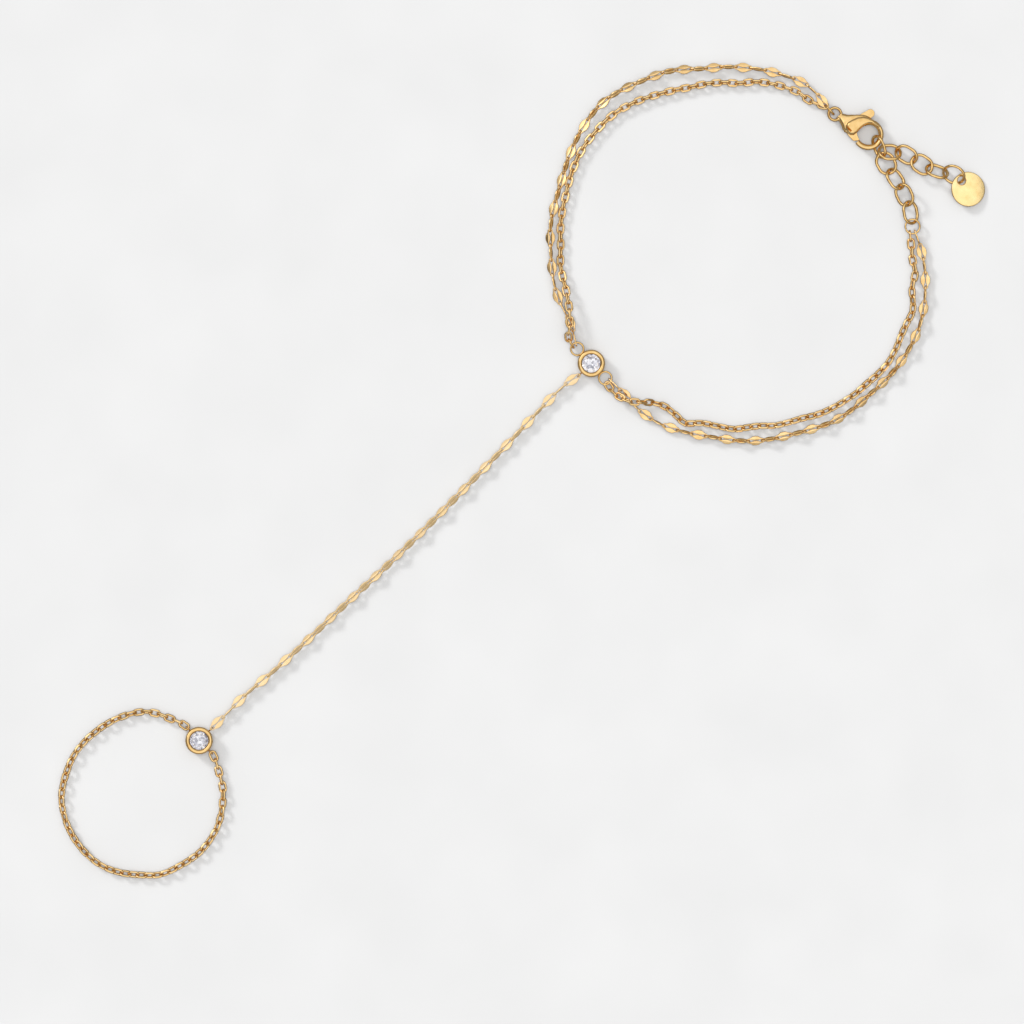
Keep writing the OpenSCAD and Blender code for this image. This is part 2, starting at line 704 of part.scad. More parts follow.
wrist_bezel();
finger_bezel();
wrist_stone();
finger_stone();
hand_chain();
finger_chain();
wrist_lace_left();
wrist_lace_right();
wrist_cable_left();
wrist_cable_right();
clasp_ring();
clasp_body();
clasp_lever();
end_ring();
extension_link(extension_places[0]);  // extension_link_1
extension_link(extension_places[1]);  // extension_link_2
extension_link(extension_places[2]);  // extension_link_3
extension_link(extension_places[3]);  // extension_link_4
extension_link(hooked_place);  // hooked_link
extension_link(tail_places[0]);  // tail_link_1
extension_link(tail_places[1]);  // tail_link_2
extension_link(tail_places[2]);  // tail_link_3
extension_link(tail_places[3]);  // tail_link_4
tag_ring();
tag();
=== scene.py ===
from math import asin, atan2, cos, degrees, pi, radians, sin

import bmesh
import bpy
import numpy as np
from mathutils import Matrix, Vector


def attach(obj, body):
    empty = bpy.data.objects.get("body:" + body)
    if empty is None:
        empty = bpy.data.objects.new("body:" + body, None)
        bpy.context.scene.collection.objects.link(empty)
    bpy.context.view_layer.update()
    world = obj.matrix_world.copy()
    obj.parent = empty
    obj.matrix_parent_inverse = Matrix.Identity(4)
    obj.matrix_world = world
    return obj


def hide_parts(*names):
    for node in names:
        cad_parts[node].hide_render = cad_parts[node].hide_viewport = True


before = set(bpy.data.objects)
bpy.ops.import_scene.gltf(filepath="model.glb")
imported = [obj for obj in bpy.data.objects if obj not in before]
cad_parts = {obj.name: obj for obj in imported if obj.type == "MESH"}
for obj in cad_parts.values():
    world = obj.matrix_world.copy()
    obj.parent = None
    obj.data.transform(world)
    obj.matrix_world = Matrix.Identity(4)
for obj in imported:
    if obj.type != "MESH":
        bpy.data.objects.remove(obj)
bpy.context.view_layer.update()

# Lengths are in millimetres up to the last step of each piece, which turns them into metres.
MM = 0.001

# What the photograph shows of the layout, seen from straight above
VIEW_SIDE = 150.0
VIEW_MIDDLE = (7.63, -23.43)
VIEW_TURN = radians(46.12)
VIEW_LENS = 300.0
FILM = 36.0

# Two lamps that light only the floor and what is matt: name, direction, angle in degrees, strength
LAMPS = [("key", (-0.93, -0.075, 0.58), 13, 2.2), ("overhead", (0, 0, 1), 28, 2.2)]

# The studio that the metal reflects: brightness by height, then darker and brighter patches. A patch has
# its direction, the angles in degrees where it is full and where it ends, and its brightness.
DOME = [(0.0, 0.44), (1.0, 1.2), (0.05, 0.26), (0.16, 0.2), (0.36, 0.52), (0.6, 0.92), (0.85, 1.12)]
PATCHES = [
    ((0.56, 0.64, 0.52), 9, 24, 0.2),
    ((-0.43, -0.62, 0.66), 9, 24, 0.2),
    ((-0.72, -0.12, 0.68), 9, 22, 2.3),
    ((0.3, -0.29, 0.91), 8, 24, 1.38),
    ((0.25, 0.4, 0.88), 10, 22, 1.32),
]

FLOOR_SIDE = 30
FLOOR_Z = -0.03

# Settings, stones and their small rings
HAND_REACH = 79.6
BEZEL_R = 2.0
BEZEL_H = 2.12
RIM_BAR = 0.66
STONE_R = 1.42
TABLE_R = 0.8
KITE_R = 1.12
DEEP_R = 0.4
TABLE_Z = 1.9
GIRDLE = (1.4, 1.46)
CULET_Z = 0.17
RING_WIRE = 0.27
RING_R = 0.935
RING_Z = 0.75
SIDE_RING_X = 2.96
LUG_R = 0.4
LUG_WIRE = 0.2
LUG_X = 2.37

# Chain links and rings
CABLE_WIRE = 0.33
CABLE_W = 1.22
CABLE_L = 1.85
CABLE_PITCH = 1.18
CABLE_LEAN = 45
CABLE_SWAY = 4
LACE_T = 0.2
LACE_END_R = 0.37
LACE_HOLE_R = 0.22
EDGE_ROUND = 0.05
TAG_ROUND = 0.13
LINK_WOBBLE = 2
WIRE_SIDES = 14
SPLIT_HALF = 0.02
EXTENSION_WIRE = 0.44
END_RING_R = 1.055
TAG_WIRE = 0.4

# The route of the right cable strand, as in the CAD source
CABLE_Z = 0.68
CABLE_RIGHT = [
    (5.4, -0.6, 1.1), (6.6, -0.3, 1.7), (7.7, 0.1, 2.1), (8.5, 0.7, 2.1), (9.3, 1.5, 1.5),
    (10.3, 2.4, 0.8), (12, 3.4, CABLE_Z), (14.1, 3.7, CABLE_Z), (15.6, 3.8, CABLE_Z), (16.4, 4.4, CABLE_Z),
    (17.6, 5.7, CABLE_Z), (19.6, 7.1, CABLE_Z), (21.4, 8.4, CABLE_Z), (22.6, 10, CABLE_Z),
    (23.8, 11.6, CABLE_Z), (25.1, 13, CABLE_Z), (26.1, 14.6, CABLE_Z), (27.2, 16.7, CABLE_Z),
    (28.3, 18.6, CABLE_Z), (29.1, 20.7, CABLE_Z), (29.6, 22.7, CABLE_Z), (30, 24.8, CABLE_Z),
    (30.1, 27, CABLE_Z), (30.2, 29.4, CABLE_Z), (30, 31.6, CABLE_Z), (29.3, 33.8, CABLE_Z),
    (28.4, 35.8, CABLE_Z), (27.7, 37.6, CABLE_Z), (27.1, 39.2, CABLE_Z), (25.9, 40.4, CABLE_Z),
    (24.8, 41.3, CABLE_Z), (24, 42.3, CABLE_Z), (23.3, 43.4, CABLE_Z), (21.6, 44.5, CABLE_Z),
    (20.15, 45.65, CABLE_Z),
]
END_RING_AT = (18.15, 47.8, 1.06)

# The clasp, measured from the middle of its eye
CLASP_AT = (-1.6, 51, 1.1)
CLASP_T = 2.2
EYE_R = 0.91
EYE_SECTION = (0.42, 0.86)
HOOK_AT = (5.55, 1.42)
HOOK_R = 2.26
PIN_AT = (3.1, 1.05)
TAB_AT = (3.53, 3.8)
TAB_R = 0.61
GATE_REACH = 2.42
LEVER_T = 0.9
SLOT_T = 1.1
CAST_GRAIN = 0.04
CAST_SOFTENING = 14

# The raised face, in layers from its foot to its top: half height and outline
FACE_LAYERS = [
    (0.72, [
        (2.26, 0.0), (2.58, -0.27), (3.1, -0.55), (3.74, -0.53), (4.12, -0.12), (4.2, 0.44),
        (4.16, 1.17), (4.22, 1.88), (4.44, 2.46), (4.85, 2.86), (5.9, 3.29), (5.9, 3.34),
        (4.8, 3.48), (4.3, 3.36), (3.82, 3.21), (3.13, 2.71), (2.62, 2.03), (2.31, 1.18),
        (2.13, 0.46),
    ]),
    (0.86, [
        (2.34, 0.08), (2.62, -0.17), (3.1, -0.44), (3.66, -0.42), (4.02, -0.06), (4.11, 0.44),
        (4.07, 1.17), (4.13, 1.92), (4.36, 2.54), (4.78, 2.98), (5.5, 3.27), (5.5, 3.31),
        (4.7, 3.36), (4.32, 3.24), (3.88, 3.1), (3.21, 2.63), (2.72, 1.99), (2.41, 1.16),
        (2.25, 0.48),
    ]),
    (0.97, [
        (2.44, 0.16), (2.68, -0.06), (3.12, -0.32), (3.6, -0.3), (3.92, 0.0), (4.01, 0.46),
        (3.98, 1.17), (4.04, 1.94), (4.26, 2.58), (4.56, 2.96), (5.05, 3.18), (5.05, 3.22),
        (4.5, 3.21), (4.26, 3.12), (3.93, 3.0), (3.29, 2.56), (2.81, 1.94), (2.5, 1.14),
        (2.35, 0.5),
    ]),
    (1.05, [
        (2.6, 0.26), (2.78, 0.08), (3.14, -0.14), (3.52, -0.12), (3.78, 0.1), (3.86, 0.48),
        (3.84, 1.17), (3.9, 1.96), (4.08, 2.6), (4.26, 2.84), (4.34, 2.94), (4.32, 2.98),
        (4.24, 2.98), (4.12, 2.92), (3.95, 2.8), (3.42, 2.42), (2.96, 1.84), (2.66, 1.1),
        (2.52, 0.52),
    ]),
]

# The slot that the lever moves in, the plate of the lever between its tab and its tip, and the groove
SLOT_OUTLINE = [
    (1.76, 2.7), (2.01, 1.72), (2.25, 1.2), (2.28, 0.85), (2.48, 0.5), (2.84, 0.0), (2.95, -0.5),
    (3.1, -1.3), (5.2, -1.3), (5.2, 1.35), (4.05, 1.5), (4.02, 2.4), (4.18, 2.9), (4.25, 4.6),
    (1.4, 4.6),
]
GATE_LEFT = [
    (2.75, 3.2), (2.5, 2.1), (2.4, 1.3), (2.55, 0.7), (2.95, 0.1), (3.05, -0.45), (3.3, -0.72),
    (3.7, -0.78),
]
GATE_RIGHT = [(4.9, 0.06), (4.5, 0.22), (4.1, 0.5), (3.85, 1.1), (3.88, 2.1), (4.05, 3.2)]
SLIT = ((2.4, -0.03), (3.5, -0.09))
SLIT_HALF = 0.27
SLIT_TOP = 1.25
SLIT_FLOOR = 0.78

# Colours of the gold pieces: deep, middle and pale tone, then the tint at grazing angles
DEEP_EDGE = (0.45, 0.30, 0.16)
CASTING_TONES = [(0.72, 0.45, 0.17), (0.80, 0.53, 0.22), (0.86, 0.60, 0.28), DEEP_EDGE]
CHAIN_TONES = [(0.76, 0.48, 0.19), (0.88, 0.60, 0.28), (0.94, 0.69, 0.36), DEEP_EDGE]
TAG_TONES = [(0.84, 0.60, 0.26), (0.91, 0.68, 0.32), (0.95, 0.74, 0.38), DEEP_EDGE]
HAND_TONES = [(0.60, 0.435, 0.216), (0.64, 0.47, 0.254), (0.68, 0.505, 0.297), (0.85, 0.66, 0.4)]
# Painted reflections of the colourless stone: near-black, grey, lavender-grey and white cells in its colour
# stand in for the glint and dark facets that light makes.
STONE_PAINTED_GLINT_TONES = [
    (0.25, (0.14, 0.14, 0.18)), (0.66, (0.92, 0.92, 0.95)),
    (0.38, (0.44, 0.44, 0.52)), (0.52, (0.74, 0.74, 0.81)),
]


# Node materials
def grey(value):
    return (value, value, value)


def new_material(name):
    material = bpy.data.materials.new(name)
    material.use_nodes = True
    nodes = material.node_tree.nodes
    return material, nodes, material.node_tree.links, nodes["Principled BSDF"]


def noise_node(nodes, links, coords, scale, detail, roughness=0.5):
    node = nodes.new("ShaderNodeTexNoise")
    node.inputs["Scale"].default_value = scale
    node.inputs["Detail"].default_value = detail
    node.inputs["Roughness"].default_value = roughness
    links.new(coords, node.inputs["Vector"])
    return node


def ramp_node(nodes, links, value, stops):
    """A colour ramp. Its first two stops are the ends, and the others lie between them."""
    node = nodes.new("ShaderNodeValToRGB")
    elements = node.color_ramp.elements
    for element, (place, color) in zip(elements, stops):
        element.position = place
        element.color = (*color, 1)
    for place, color in stops[2:]:
        elements.new(place).color = (*color, 1)
    links.new(value, node.inputs["Fac"])
    return node


def range_node(nodes, links, value, low, high):
    node = nodes.new("ShaderNodeMapRange")
    node.inputs["To Min"].default_value = low
    node.inputs["To Max"].default_value = high
    links.new(value, node.inputs["Value"])
    return node


def gold(name, tones, rough_low, rough_high, bump, metallic=1.0):
    """Gold plate: cloudy changes of tone, hairline scratches and a fine unevenness of the surface."""
    deep, mid, pale, edge = tones
    material, nodes, links, shader = new_material(name)
    coords = nodes.new("ShaderNodeTexCoord").outputs["Object"]
    clouds = noise_node(nodes, links, coords, 900, 3)
    tone = ramp_node(nodes, links, clouds.outputs["Fac"], [(0.25, deep), (0.75, pale), (0.5, mid)])
    links.new(tone.outputs["Color"], shader.inputs["Base Color"])
    stretch = nodes.new("ShaderNodeMapping")
    stretch.inputs["Scale"].default_value = (1, 0.06, 1)
    stretch.inputs["Rotation"].default_value = (0.3, 0.2, 0.6)
    links.new(coords, stretch.inputs["Vector"])
    hairlines = noise_node(nodes, links, stretch.outputs["Vector"], 22000, 2, 0.6)
    wear = noise_node(nodes, links, coords, 3500, 4, 0.6)
    blend = nodes.new("ShaderNodeMath")
    blend.operation = "MULTIPLY"
    links.new(hairlines.outputs["Fac"], blend.inputs[0])
    links.new(wear.outputs["Fac"], blend.inputs[1])
    rough = range_node(nodes, links, blend.outputs["Value"], rough_low, rough_high)
    links.new(rough.outputs["Result"], shader.inputs["Roughness"])
    relief = nodes.new("ShaderNodeBump")
    relief.inputs["Strength"].default_value = bump
    relief.inputs["Distance"].default_value = 0.00002
    links.new(blend.outputs["Value"], relief.inputs["Height"])
    links.new(relief.outputs["Normal"], shader.inputs["Normal"])
    shader.inputs["Metallic"].default_value = metallic
    shader.inputs["Specular Tint"].default_value = (*edge, 1)
    return material


def stone_painted_glints():
    """A colourless brilliant whose base colour holds painted reflections: random cells of near black, grey,
    lavender-grey and white that stand in for its glint and dark facets.
    """
    material, nodes, links, shader = new_material("stone_painted_glints")
    coords = nodes.new("ShaderNodeTexCoord").outputs["Object"]
    # Random cells that paint the stone's glint and dark reflections into its base colour.
    painted_glint_cells = nodes.new("ShaderNodeTexVoronoi")
    painted_glint_cells.inputs["Scale"].default_value = 2300
    links.new(coords, painted_glint_cells.inputs["Vector"])
    tone = ramp_node(nodes, links, painted_glint_cells.outputs["Color"], STONE_PAINTED_GLINT_TONES)
    links.new(tone.outputs["Color"], shader.inputs["Base Color"])
    shader.inputs["Roughness"].default_value = 0.0
    shader.inputs["IOR"].default_value = 2.16
    shader.inputs["Transmission Weight"].default_value = 1.0
    return material


def pale_floor():
    material, nodes, links, shader = new_material("pale_floor")
    coords = nodes.new("ShaderNodeTexCoord").outputs["Object"]
    mottle = noise_node(nodes, links, coords, 60, 2)
    tone = ramp_node(
        nodes, links, mottle.outputs["Fac"], [(0.3, grey(0.43)), (0.7, grey(0.446)), (0.5, grey(0.438))]
    )
    links.new(tone.outputs["Color"], shader.inputs["Base Color"])
    shader.inputs["Roughness"].default_value = 0.9
    shader.inputs["Specular IOR Level"].default_value = 0.1
    return material


# Meshes as pairs of points and faces
def joined(shapes):
    """Several shapes as one."""
    points = []
    faces = []
    start = 0
    for shape_points, shape_faces in shapes:
        points.append(np.asarray(shape_points, float))
        faces += [tuple(start + i for i in face) for face in shape_faces]
        start += len(shape_points)
    return np.concatenate(points), faces


def placed(shape, matrix):
    points, faces = shape
    matrix = np.array(matrix)
    return points @ matrix[:3, :3].T + matrix[:3, 3], faces


def piece(name, shape, material, smooth_angle=35):
    """A new object in metres from a shape in millimetres, with smooth shading up to an angle."""
    points, faces = shape
    mesh = bpy.data.meshes.new(name)
    mesh.from_pydata([tuple(p) for p in np.asarray(points) * MM], [], faces)
    return finished(name, mesh, material, smooth_angle)


def finished(name, mesh, material, smooth_angle=35):
    """A new object from a mesh in metres, its faces turned outwards and its sharp edges kept."""
    work = bmesh.new()
    work.from_mesh(mesh)
    bmesh.ops.recalc_face_normals(work, faces=work.faces)
    for face in work.faces:
        face.smooth = True
    for edge in work.edges:
        edge.smooth = len(edge.link_faces) == 2 and edge.calc_face_angle(0) < radians(smooth_angle)
    work.to_mesh(mesh)
    work.free()
    mesh.materials.clear()
    mesh.materials.append(material)
    thing = bpy.data.objects.new(name, mesh)
    bpy.context.scene.collection.objects.link(thing)
    return thing


def dress(thing, body, slot, *nodes):
    """Attaches a piece to its body and hides the CAD nodes that it stands for. The slot is not used."""
    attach(thing, body)
    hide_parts(*nodes)
    return thing


def circle(radius, count, start=0.0):
    turns = [start + 2 * pi * k / count for k in range(count)]
    return [(radius * cos(t), radius * sin(t)) for t in turns]


def arc(middle, radius, start, end, count):
    """Points of an arc, angles in degrees."""
    turns = [radians(start + (end - start) * k / (count - 1)) for k in range(count)]
    return [(middle[0] + radius * cos(t), middle[1] + radius * sin(t)) for t in turns]


def stadium(length, width, count):
    """A closed oval of two half circles and two straights, along X."""
    radius = width / 2
    middle = (length - width) / 2
    return arc((middle, 0), radius, -90, 90, count) + arc((-middle, 0), radius, 90, 270, count)


def wire(path, diameter, sides, closed=True):
    """Round wire along a flat path in the XY plane."""
    return bar(path, [(diameter, diameter)] * len(path), sides, closed)


def bar(path, sizes, sides, closed=True, crest=0.0):
    """A bar along a flat path in the XY plane. Its oval section changes along the path, and its crest can
    stand to one side."""
    path = np.array([(*p, 0) for p in path], float)
    ahead = np.roll(path, -1, axis=0)
    behind = np.roll(path, 1, axis=0)
    if not closed:
        ahead[-1] = path[-1]
        behind[0] = path[0]
    along = ahead - behind
    along /= np.linalg.norm(along, axis=1)[:, None]
    across = np.cross(along, (0, 0, 1))
    points = []
    for place, side, (width, height) in zip(path, across, sizes):
        for x, z in circle(0.5, sides):
            out = x * width + crest * (2 * z) ** 2
            points.append(place + out * side + np.array((0, 0, z * height)))
    count = len(path)
    faces = []
    for i in range(count if closed else count - 1):
        here = i * sides
        there = (i + 1) % count * sides
        for k in range(sides):
            n = (k + 1) % sides
            faces.append((here + k, here + n, there + n, there + k))
    if not closed:
        faces.append(tuple(range(sides)))
        faces.append(tuple(range(len(points) - 1, len(points) - 1 - sides, -1)))
    return points, faces


def lathe(profile, count):
    """A profile of (radius, height) turned round the Z axis. A radius of 0 closes an end."""
    points = []
    faces = []
    rings = []
    for radius, height in profile:
        if radius == 0:
            rings.append([len(points)])
            points.append((0, 0, height))
        else:
            rings.append(list(range(len(points), len(points) + count)))
            points += [(x, y, height) for x, y in circle(radius, count)]
    for low, high in zip(rings, rings[1:]):
        for k in range(count):
            n = (k + 1) % count
            corners = [low[k % len(low)], low[n % len(low)], high[n % len(high)], high[k % len(high)]]
            faces.append(tuple(dict.fromkeys(corners)))
    return points, faces


def plate(outlines, thickness, bevel):
    """A flat plate with rounded edges: the first outline is its edge, the others are holes."""
    data = bpy.data.curves.new("plate", "CURVE")
    data.dimensions = "2D"
    data.fill_mode = "BOTH"
    data.extrude = thickness / 2 - bevel
    data.bevel_depth = bevel
    data.bevel_resolution = 2
    data.offset = -bevel
    for outline in outlines:
        spline = data.splines.new("POLY")
        spline.points.add(len(outline) - 1)
        for point, (x, y) in zip(spline.points, outline):
            point.co = (x, y, 0, 1)
        spline.use_cyclic_u = True
    thing = bpy.data.objects.new("plate", data)
    mesh = bpy.data.meshes.new_from_object(thing)
    work = bmesh.new()
    work.from_mesh(mesh)
    bmesh.ops.remove_doubles(work, verts=work.verts, dist=0.0005)
    points = np.array([v.co for v in work.verts])
    work.verts.index_update()
    faces = [tuple(v.index for v in face.verts) for face in work.faces]
    work.free()
    bpy.data.meshes.remove(mesh)
    bpy.data.objects.remove(thing)
    bpy.data.curves.remove(data)
    return points, faces


# Places that are read from the CAD nodes
def loose_parts(node):
    """Each loose solid of a CAD node as an array of its triangles' corners, in millimetres."""
    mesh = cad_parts[node].data
    mesh.calc_loop_triangles()
    points = np.array([v.co for v in mesh.vertices], float) / MM
    same, merged = np.unique(np.round(points, 4), axis=0, return_inverse=True)
    merged = merged.reshape(-1)
    triangles = merged[np.array([t.vertices for t in mesh.loop_triangles])]
    label = np.arange(len(same))
    while True:
        lowest = label[triangles].min(axis=1)
        changed = label.copy()
        for corner in range(3):
            np.minimum.at(changed, triangles[:, corner], lowest)
        if (changed == label).all():
            break
        label = changed
    owner = label[triangles[:, 0]]
    return [same[triangles[owner == part]] for part in np.unique(owner)]


def solid_frame(triangles):
    """The matrix of a link: its middle, X along its length, Y across it and Z through its flat side."""
    a, b, c = triangles[:, 0], triangles[:, 1], triangles[:, 2]
    area = np.linalg.norm(np.cross(b - a, c - a), axis=1) / 2
    middle = ((a + b + c) / 3 * area[:, None]).sum(axis=0) / area.sum()
    a, b, c = a - middle, b - middle, c - middle
    total = a + b + c
    spread = sum(np.einsum("t,ti,tj->ij", area / 12, v, v) for v in (a, b, c, total))
    axes = np.linalg.eigh(spread)[1][:, ::-1]
    if np.linalg.det(axes) < 0:
        axes[:, 2] *= -1
    inside = (triangles.reshape(-1, 3) - middle) @ axes
    low, high = inside.min(axis=0), inside.max(axis=0)
    matrix = np.eye(4)
    matrix[:3, :3] = axes
    matrix[:3, 3] = middle + axes @ ((low + high) / 2)
    return matrix, high - low


def strand(name, node, link_for_length, material):
    """A chain of links at the places of the node's solids, each with a small turn about its own length."""
    rng = np.random.default_rng(len(name))
    links = []
    for triangles in loose_parts(node):
        matrix, size = solid_frame(triangles)
        wobble = Matrix.Rotation(radians(rng.uniform(-LINK_WOBBLE, LINK_WOBBLE)), 4, "X")
        links.append(placed(link_for_length(size[0]), matrix @ np.array(wobble)))
    return dress(piece(name, joined(links), material), "bracelet", "gold", node)


def curve_point(a, b, c, d, share):
    """A point between b and c on the smooth curve through all four."""
    bend = (2 * a - 5 * b + 4 * c - d) + share * (3 * (b - c) + d - a)
    return b + share / 2 * ((c - a) + share * bend)


def ring_hold(middle, radius, turn):
    """Where a ring's wire passes, at an angle in degrees."""
    return (middle[0] + radius * cos(radians(turn)), middle[1] + radius * sin(radians(turn)), middle[2])


def route_frames(route, pitch, inset, lean, sway):
    """Matrices of links along a smooth route, each a quarter turn on from the one before. All lean over by
    the same angle, but less towards the ends, and sway a little about it. The first and last link stand
    inset from the ends."""
    route = np.array(route, float)
    path = []
    for i in range(len(route) - 1):
        corners = [route[max(i - 1, 0)], route[i], route[i + 1], route[min(i + 2, len(route) - 1)]]
        path += [curve_point(*corners, k / 12) for k in range(12)]
    path = np.array(path + [route[-1]])
    lengths = np.concatenate([[0], np.cumsum(np.linalg.norm(np.diff(path, axis=0), axis=1))])
    total = lengths[-1]
    span = total - inset - inset
    count = 2 * round(span / pitch / 2 + 0.5)
    step = span / (count - 1)

    def at(along):
        return np.array([np.interp(along, lengths, path[:, axis]) for axis in range(3)])

    frames = []
    for i in range(count):
        along = inset + i * step
        direction = at(min(along + step / 2, total)) - at(max(along - step / 2, 0))
        direction /= np.linalg.norm(direction)
        near_end = min(1, min(i, count - 1 - i) / 10)
        roll = -90 * (i % 2) + lean * near_end + sway * sin(radians(i * 137))
        turn = Matrix.Rotation(atan2(direction[1], direction[0]), 4, "Z")
        climb = Matrix.Rotation(-asin(direction[2]), 4, "Y")
        matrix = Matrix.Translation(at(along)) @ turn @ climb @ Matrix.Rotation(radians(roll), 4, "X")
        frames.append(np.array(matrix))
    return frames


# Links
def cable_link(_length=None):
    """An oval wire link. They are all equally long, whatever their solid measures."""
    return wire(stadium(CABLE_L - CABLE_WIRE, CABLE_W - CABLE_WIRE, 11), CABLE_WIRE, 10)


def lace_link(length):
    """Two flat petals with a slit between them that widens into a hole at each narrow end."""
    end = length / 2 - LACE_END_R
    edge = arc((end, 0), LACE_END_R, -78, 78, 11) + [
        (end - 0.12, 0.4), (end - 0.3, 0.49), (0.5, 0.62), (0.3, 0.69), (0, 0.71), (-0.3, 0.69),
        (-0.5, 0.62), (0.3 - end, 0.49), (0.12 - end, 0.4),
    ]
    opening = arc((end, 0), LACE_HOLE_R, -90, 90, 9) + [
        (end - 0.3, 0.19), (end - 0.5, 0.11), (0.12, 0.05), (-0.12, 0.05), (0.5 - end, 0.11),
        (0.3 - end, 0.19),
    ]
    return plate([half + [(-x, -y) for x, y in half] for half in (edge, opening)], LACE_T, EDGE_ROUND)


def ring_shape(radius, diameter, split=None):
    """A wire ring, which can be split at an angle in degrees."""
    if split is None:
        return wire(circle(radius, 48), diameter, WIRE_SIDES)
    half = degrees(SPLIT_HALF / radius)
    return wire(arc((0, 0), radius, split + half, split + 360 - half, 57), diameter, WIRE_SIDES, closed=False)


def bezel_profile():
    """The setting's section, from the middle of its back over the wall and the rim into the seat."""
    rim = (BEZEL_R - RIM_BAR / 2, BEZEL_H - RIM_BAR / 2)
    return (
        [(0, 0), (1.3, 0), (1.72, 0.02), (1.82, 0.07), (1.87, 0.17)]
        + [(1.93, 0.45), (1.955, 0.9), (1.98, 1.4)]
        + arc(rim, RIM_BAR / 2, -20, 200, 23)
        + [(1.48, 1.56), (1.5, 1.48), (1.5, 1.36), (1.2, 1.1), (0.6, 0.6), (0, 0.08)]
    )


def standing_ring(radius, diameter, x, turn):
    """A small ring that stands on edge beside a setting."""
    matrix = (
        Matrix.Rotation(radians(turn), 4, "Z")
        @ Matrix.Translation((x, 0, RING_Z))
        @ Matrix.Rotation(pi / 2, 4, "X")
    )
    return placed(ring_shape(radius, diameter), matrix)


def wrist_bezel(material):
    shapes = [lathe(bezel_profile(), 96), standing_ring(LUG_R, LUG_WIRE, LUG_X, -90)]
    for side in (-1, 1):
        matrix = Matrix.Translation((side * SIDE_RING_X, 0, RING_Z))
        shapes.append(placed(ring_shape(RING_R, RING_WIRE), matrix))
    return dress(piece("wrist_setting", joined(shapes), material), "bracelet", "gold", "wrist_bezel")


def finger_bezel(material):
    shapes = [lathe(bezel_profile(), 96)]
    shapes += [standing_ring(LUG_R, LUG_WIRE, LUG_X, turn) for turn in (0, 90, 180)]
    shape = placed(joined(shapes), Matrix.Translation((0, -HAND_REACH, 0)))
    return dress(piece("finger_setting", shape, material), "bracelet", "gold", "finger_bezel")


def brilliant():
    """A round brilliant of 57 facets, table up."""
    kite_z = TABLE_Z - (KITE_R * cos(pi / 8) - TABLE_R) * (TABLE_Z - GIRDLE[1]) / (STONE_R - TABLE_R)
    deep_z = CULET_Z + DEEP_R * cos(pi / 8) * (GIRDLE[0] - CULET_Z) / STONE_R
    points = [(x, y, TABLE_Z) for x, y in circle(TABLE_R, 8)]
    points += [(x, y, kite_z) for x, y in circle(KITE_R, 8, pi / 8)]
    points += [(x, y, GIRDLE[1]) for x, y in circle(STONE_R, 16)]
    points += [(x, y, GIRDLE[0]) for x, y in circle(STONE_R, 16)]
    points += [(x, y, deep_z) for x, y in circle(DEEP_R, 8, pi / 8)]
    points.append((0, 0, CULET_Z))
    kite, upper, lower, deep, culet = 8, 16, 32, 48, 56
    faces = [tuple(range(8))]
    for k in range(8):
        n = (k + 1) % 8
        mid = 2 * k + 1
        end = (2 * k + 2) % 16
        faces += [
            (k, n, kite + k),
            (upper + 2 * k, upper + mid, kite + k), (upper + mid, upper + end, kite + k),
            (lower + mid, lower + 2 * k, deep + k), (lower + end, lower + mid, deep + k),
            (n, kite + k, upper + end, kite + n), (culet, deep + k, lower + end, deep + n),
        ]
    for k in range(16):
        n = (k + 1) % 16
        faces.append((upper + k, lower + k, lower + n, upper + n))
    return points, faces


def wire_node(name, node, diameter, material, split=None):
    """Replaces a ring or an oval link by finer wire in the same place. A ring measures the same both ways."""
    matrix, size = solid_frame(loose_parts(node)[0])
    if abs(size[0] - size[1]) < 0.1:
        shape = ring_shape((size[0] - diameter) / 2, diameter, split)
    else:
        shape = wire(stadium(size[0] - diameter, size[1] - diameter, 17), diameter, WIRE_SIDES)
    return dress(piece(name, placed(shape, matrix), material), "bracelet", "gold", node)


def tag(material):
    """The bare round tag. Its hole is where the solid's corners away from the rim are."""
    triangles = loose_parts("tag")[0]
    matrix, size = solid_frame(triangles)
    radius = size[1] / 2
    inside = (triangles.reshape(-1, 3) - matrix[:3, 3]) @ matrix[:3, :3]
    near = inside[np.hypot(inside[:, 0], inside[:, 1]) < radius - 0.1]
    low, high = near.min(axis=0), near.max(axis=0)
    hole = (low + high) / 2
    hole_r = (high - low)[:2].mean() / 2
    rim = circle(radius, 96)
    inner = [(hole[0] + x, hole[1] + y) for x, y in circle(hole_r, 32)]
    shape = plate([rim, inner], size[2], TAG_ROUND)
    return dress(piece("tag_disc", placed(shape, matrix), material), "bracelet", "gold", "tag")


def applied(thing):
    """The object's mesh with its modifiers applied."""
    depsgraph = bpy.context.evaluated_depsgraph_get()
    mesh = bpy.data.meshes.new_from_object(thing.evaluated_get(depsgraph))
    bpy.data.objects.remove(thing)
    return mesh


def fused(name, shapes):
    """Overlapping shapes made into one skin with the soft corners of a polished casting."""
    points, faces = joined(shapes)
    mesh = bpy.data.meshes.new(name)
    mesh.from_pydata([tuple(p) for p in points * MM], [], faces)
    work = bmesh.new()
    work.from_mesh(mesh)
    bmesh.ops.recalc_face_normals(work, faces=work.faces)
    work.to_mesh(mesh)
    work.free()
    thing = bpy.data.objects.new(name, mesh)
    bpy.context.scene.collection.objects.link(thing)
    remesh = thing.modifiers.new("remesh", "REMESH")
    remesh.mode = "VOXEL"
    remesh.voxel_size = CAST_GRAIN * MM
    soften = thing.modifiers.new("soften", "SMOOTH")
    soften.factor = 0.5
    soften.iterations = CAST_SOFTENING
    return applied(thing)


